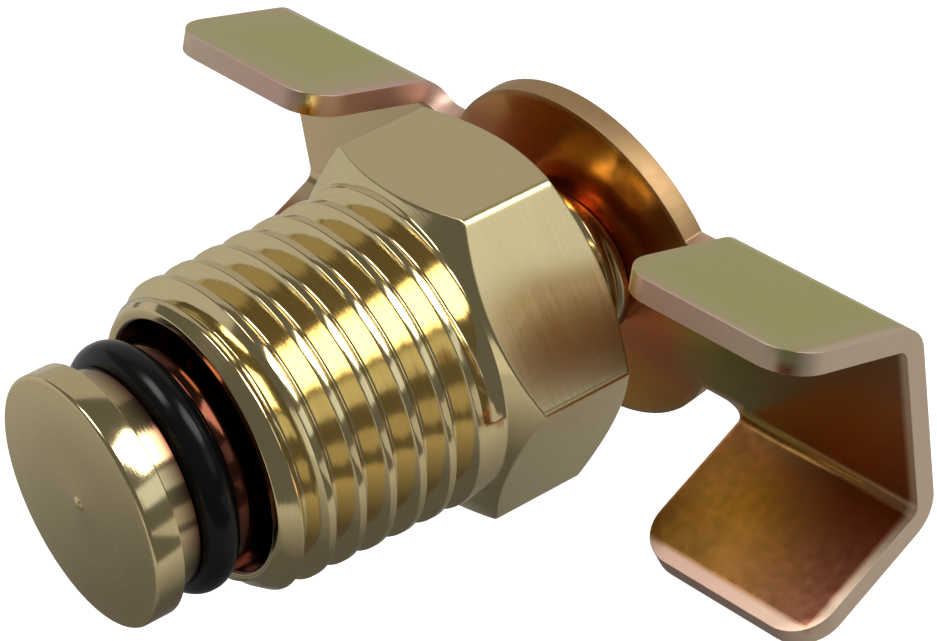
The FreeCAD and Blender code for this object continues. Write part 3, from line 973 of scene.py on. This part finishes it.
def pale_paper():
    """White paper, lifted a little for the camera. In reflections it is shaded near the part."""
    material, w, shader = new_material("pale_floor")
    place = w.add("ShaderNodeTexCoord").outputs["Object"]
    shade = remap(w, noise(w, place, 40.0), 0.0, 1.0, 0.89, 0.9)
    path = w.add("ShaderNodeLightPath").outputs
    mirrored = path["Is Glossy Ray"]
    x, y = w.add("ShaderNodeSeparateXYZ", [place]).outputs[:2]
    under = distance_from(w, x, y, (0, 0), (26 * MM, 19 * MM))
    beside = distance_from(w, x, y, (-20 * MM, 18 * MM), (34 * MM, 34 * MM))
    lit = 0.46
    reflected = w.math("MINIMUM", remap(w, under, 0.45, 1.7, 0.09, lit),
                       remap(w, beside, 0.2, 1.0, 0.10, lit))
    unmirrored = w.math("MULTIPLY", shade, w.math("SUBTRACT", 1.0, mirrored))
    w.tree.links.new(unmirrored, shader.inputs["Base Color"])
    shader.inputs["Roughness"].default_value = 0.7
    glow = w.math("ADD", w.math("MULTIPLY", path["Is Camera Ray"], 0.6),
                  w.math("MULTIPLY", mirrored, reflected))
    w.tree.links.new(glow, shader.inputs["Emission Strength"])
    shader.inputs["Emission Color"].default_value = (1, 1, 1, 1)
    return material


def soft_box(name, toward, distance, width, height, radiance, tint):
    """A soft box of a given brightness that faces the petcock from one direction."""
    middle = Vector((0.005, 0, 0))
    lamp = bpy.data.lights.new(name, "AREA")
    lamp.shape = "RECTANGLE"
    lamp.size = width
    lamp.size_y = height
    lamp.energy = radiance * math.pi * width * height
    lamp.color = tint
    obj = bpy.data.objects.new(name, lamp)
    obj.location = middle + Vector(toward).normalized() * distance
    obj.rotation_euler = (middle - obj.location).to_track_quat("-Z", "Y").to_euler()
    bpy.context.scene.collection.objects.link(obj)
    return obj


def plain_world():
    """Dim even light, seen as white by the camera."""
    world = bpy.data.worlds.new("studio")
    world.use_nodes = True
    w = Wiring(world.node_tree)
    background = world.node_tree.nodes["Background"]
    path = w.add("ShaderNodeLightPath").outputs
    strength = remap(w, path["Is Camera Ray"], 0.0, 1.0, 0.13, 1.0)
    w.tree.links.new(strength, background.inputs["Strength"])
    background.inputs["Color"].default_value = (1, 1, 1, 1)
    bpy.context.scene.world = world


class PETCOCK_OT_stage(bpy.types.Operator):
    """Sets the camera, the pale floor and the soft light"""
    bl_idname = "petcock.stage"
    bl_label = "Stage"

    def execute(self, context):
        s = context.scene.petcock_stage
        scene = context.scene
        scene.view_settings.view_transform = "Standard"
        camera = bpy.data.cameras.new("camera")
        camera.sensor_width = 36
        camera.lens = s.lens
        camera.clip_start = 0.005
        camera.clip_end = 20
        obj = bpy.data.objects.new("camera", camera)
        heading = Matrix.Rotation(-s.azimuth, 4, "Z")
        tilt = Matrix.Rotation(math.pi / 2 - s.elevation, 4, "X")
        obj.matrix_world = (Matrix.Translation(s.camera_place) @ heading @ tilt
                            @ Matrix.Rotation(-s.roll, 4, "Z"))
        scene.collection.objects.link(obj)
        scene.camera = obj
        self.floor(s)
        plain_world()
        for lamp in LAMPS:
            soft_box(*lamp)
        return {"FINISHED"}

    def floor(self, s):
        """A wide pale floor."""
        bm = bmesh.new()
        bm.faces.new([bm.verts.new((x, y, s.floor)) for x, y in FLOOR_OUTLINE])
        mesh = bpy.data.meshes.new("floor")
        bm.to_mesh(mesh)
        bm.free()
        floor = new_object("floor", mesh)
        floor.data.materials.append(pale_paper())


class PETCOCK_PT_panel(bpy.types.Panel):
    """Lists the petcock's pieces in the sidebar"""
    bl_label = "Drain petcock"
    bl_idname = "PETCOCK_PT_panel"
    bl_space_type = "VIEW_3D"
    bl_region_type = "UI"
    bl_category = "Petcock"

    def draw(self, context):
        for group, operator in PIECES:
            box = self.layout.box()
            box.operator("petcock." + operator)
            settings = getattr(context.scene, group)
            for name in settings.__annotations__:
                box.prop(settings, name)
        box = self.layout.box()
        finish = context.scene.petcock_finish
        for name in finish.__annotations__:
            box.prop(finish, name)


GROUPS = {
    "petcock_body": PETCOCK_PG_body,
    "petcock_spindle": PETCOCK_PG_spindle,
    "petcock_ring": PETCOCK_PG_ring,
    "petcock_handle": PETCOCK_PG_handle,
    "petcock_finish": PETCOCK_PG_finish,
    "petcock_stage": PETCOCK_PG_stage,
}
PIECES = (
    ("petcock_body", "body"),
    ("petcock_spindle", "spindle"),
    ("petcock_ring", "ring"),
    ("petcock_handle", "handle"),
    ("petcock_stage", "stage"),
)
CLASSES = tuple(GROUPS.values()) + (
    PETCOCK_OT_body, PETCOCK_OT_spindle, PETCOCK_OT_ring, PETCOCK_OT_handle, PETCOCK_OT_stage,
    PETCOCK_PT_panel,
)


def register():
    for item in CLASSES:
        bpy.utils.register_class(item)
    for name, group in GROUPS.items():
        setattr(bpy.types.Scene, name, bpy.props.PointerProperty(type=group))


def unregister():
    for name in GROUPS:
        delattr(bpy.types.Scene, name)
    for item in reversed(CLASSES):
        bpy.utils.unregister_class(item)


def main():
    register()
    bpy.ops.petcock.body()
    bpy.ops.petcock.spindle()
    bpy.ops.petcock.ring()
    bpy.ops.petcock.handle()
    bpy.ops.petcock.stage()


if __name__ == "__main__":
    main()
